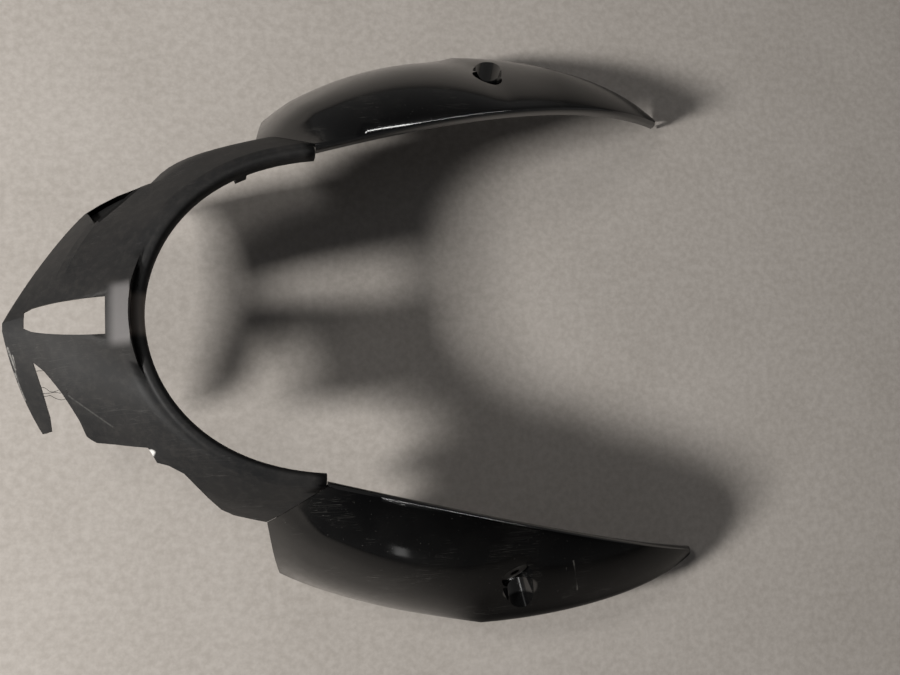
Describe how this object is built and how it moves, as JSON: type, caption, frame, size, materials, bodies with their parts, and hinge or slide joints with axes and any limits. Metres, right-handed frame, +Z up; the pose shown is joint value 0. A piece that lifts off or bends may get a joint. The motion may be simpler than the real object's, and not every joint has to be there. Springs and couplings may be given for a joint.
{
  "type": "motorcycle belly pan",
  "caption": "U-shaped motorcycle belly pan: a matte centre cowl with a pointed nose, window and side vent, broken on one side, and two gloss side panels that taper to points.",
  "frame": {"origin": "middle of the footprint, on the ground, with the pan standing rim up on the lower edges of its side panels", "axes": "+Z up, -X towards the nose, +Y towards the unbroken side"},
  "size_m": [0.582, 0.5, 0.1656],
  "materials": {
    "cowl": "matte, dusty and scratched",
    "panel": "gloss black with fine scratches"
  },
  "bodies": {
    "root": {"centre_cowl": "cowl", "left_panel": "panel", "right_panel": "panel"}
  },
  "joints": []
}
